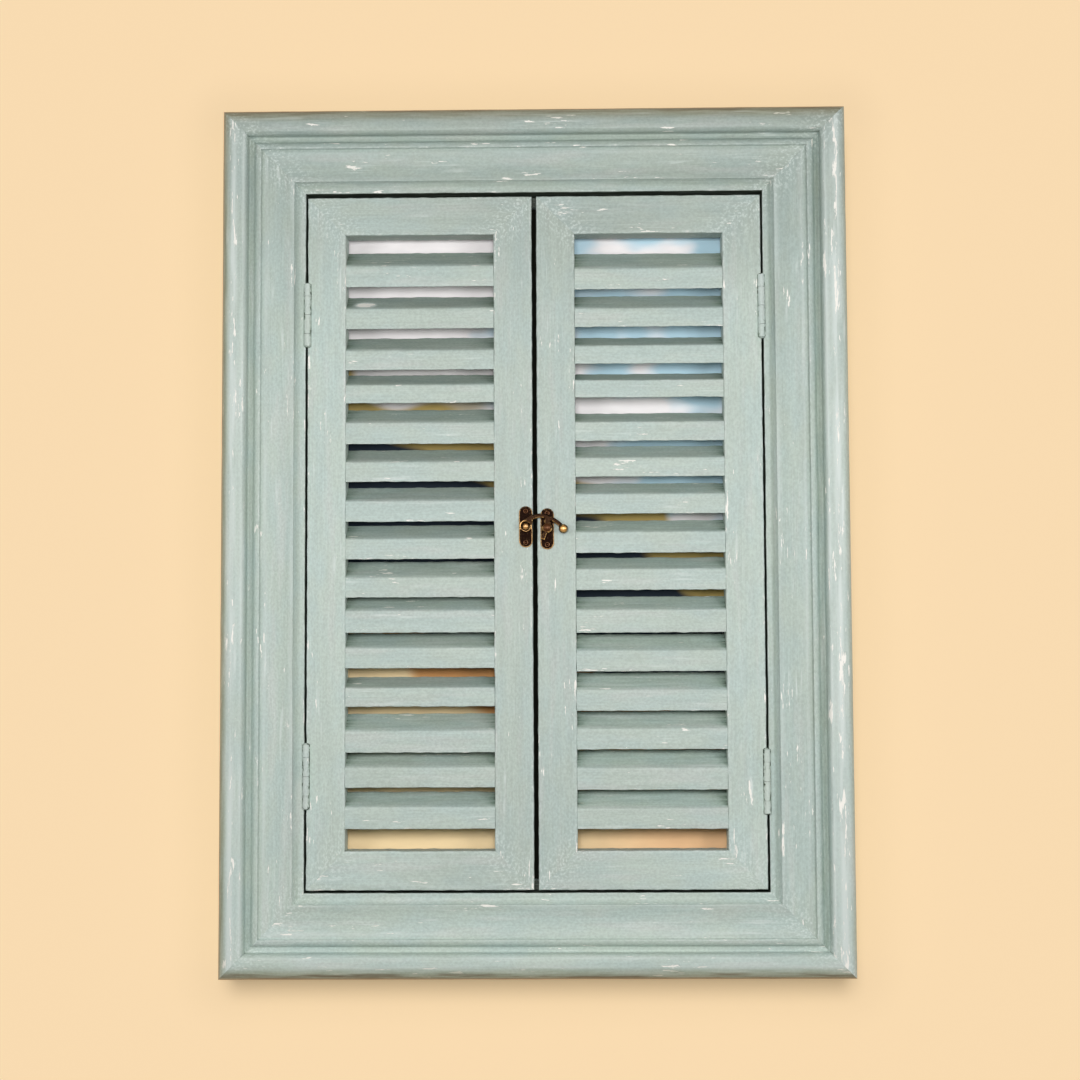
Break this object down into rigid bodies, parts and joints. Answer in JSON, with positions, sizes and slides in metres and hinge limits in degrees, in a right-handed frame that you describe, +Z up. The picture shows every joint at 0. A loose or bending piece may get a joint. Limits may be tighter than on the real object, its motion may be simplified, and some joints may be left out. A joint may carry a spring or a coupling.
{
  "type": "wooden window frame",
  "caption": "Wall-hung moulded wooden window frame with a pair of louvred shutters on butt hinges over a print, closed by a swing hook latch.",
  "frame": {"origin": "centre of the back face, on the wall plane", "axes": "+Z up along the frame's height, +X to the right seen from the front, +Y into the wall"},
  "size_m": [0.406, 0.041, 0.562],
  "materials": {
    "painted_wood": "brushed, chipped paint",
    "painted_hinge": "painted over",
    "bronze": "antique bronze",
    "zinc": "zinc plated",
    "print": "matt print on card",
    "hardboard": "bare hardboard"
  },
  "bodies": {
    "frame": {"frame_top_rail": "painted_wood", "frame_bottom_rail": "painted_wood", "frame_left_stile": "painted_wood", "frame_right_stile": "painted_wood", "picture_print": "print", "back_board": "hardboard", "back_board_pins": "zinc", "hanger_plates": "zinc", "hanger_screws": "zinc", "frame_hinge_leaves": "painted_hinge", "hinge_pins": "painted_hinge", "frame_leaf_screws": "zinc"},
    "left_shutter": {"left_shutter_top_rail": "painted_wood", "left_shutter_bottom_rail": "painted_wood", "left_shutter_hinge_stile": "painted_wood", "left_shutter_meeting_stile": "painted_wood", "left_slat_01": "painted_wood", "left_slat_02": "painted_wood", "left_slat_03": "painted_wood", "left_slat_04": "painted_wood", "left_slat_05": "painted_wood", "left_slat_06": "painted_wood", "left_slat_07": "painted_wood", "left_slat_08": "painted_wood", "left_slat_09": "painted_wood", "left_slat_10": "painted_wood", "left_slat_11": "painted_wood", "left_slat_12": "painted_wood", "left_slat_13": "painted_wood", "left_slat_14": "painted_wood", "left_slat_15": "painted_wood", "left_hinge_leaves": "painted_hinge", "left_leaf_screws": "zinc", "catch_plate": "bronze", "catch_plate_screws": "bronze"},
    "right_shutter": {"right_shutter_top_rail": "painted_wood", "right_shutter_bottom_rail": "painted_wood", "right_shutter_hinge_stile": "painted_wood", "right_shutter_meeting_stile": "painted_wood", "right_slat_01": "painted_wood", "right_slat_02": "painted_wood", "right_slat_03": "painted_wood", "right_slat_04": "painted_wood", "right_slat_05": "painted_wood", "right_slat_06": "painted_wood", "right_slat_07": "painted_wood", "right_slat_08": "painted_wood", "right_slat_09": "painted_wood", "right_slat_10": "painted_wood", "right_slat_11": "painted_wood", "right_slat_12": "painted_wood", "right_slat_13": "painted_wood", "right_slat_14": "painted_wood", "right_slat_15": "painted_wood", "right_hinge_leaves": "painted_hinge", "right_leaf_screws": "zinc", "hook_plate": "bronze", "hook_plate_screws": "bronze", "hook_rivet": "bronze"},
    "latch_hook": {"latch_hook": "bronze"}
  },
  "joints": [
    {"name": "right_shutter_swing", "type": "hinge", "parent": "frame", "child": "right_shutter", "pos_m": [0.14777, -0.0328, 0], "axis": [0, 0, 1], "range_deg": [0, 165]},
    {"name": "left_shutter_swing", "type": "hinge", "parent": "frame", "child": "left_shutter", "pos_m": [-0.14777, -0.0328, 0], "axis": [0, 0, -1], "range_deg": [0, 165]},
    {"name": "latch_hook_turn", "type": "hinge", "parent": "right_shutter", "child": "latch_hook", "pos_m": [0.0079, -0.033, 0.0066], "axis": [0, 1, 0], "range_deg": [0, 55]}
  ],
  "couplings": [
    {"joint": "left_shutter_swing", "follows": "right_shutter_swing", "ratio": 1}
  ]
}
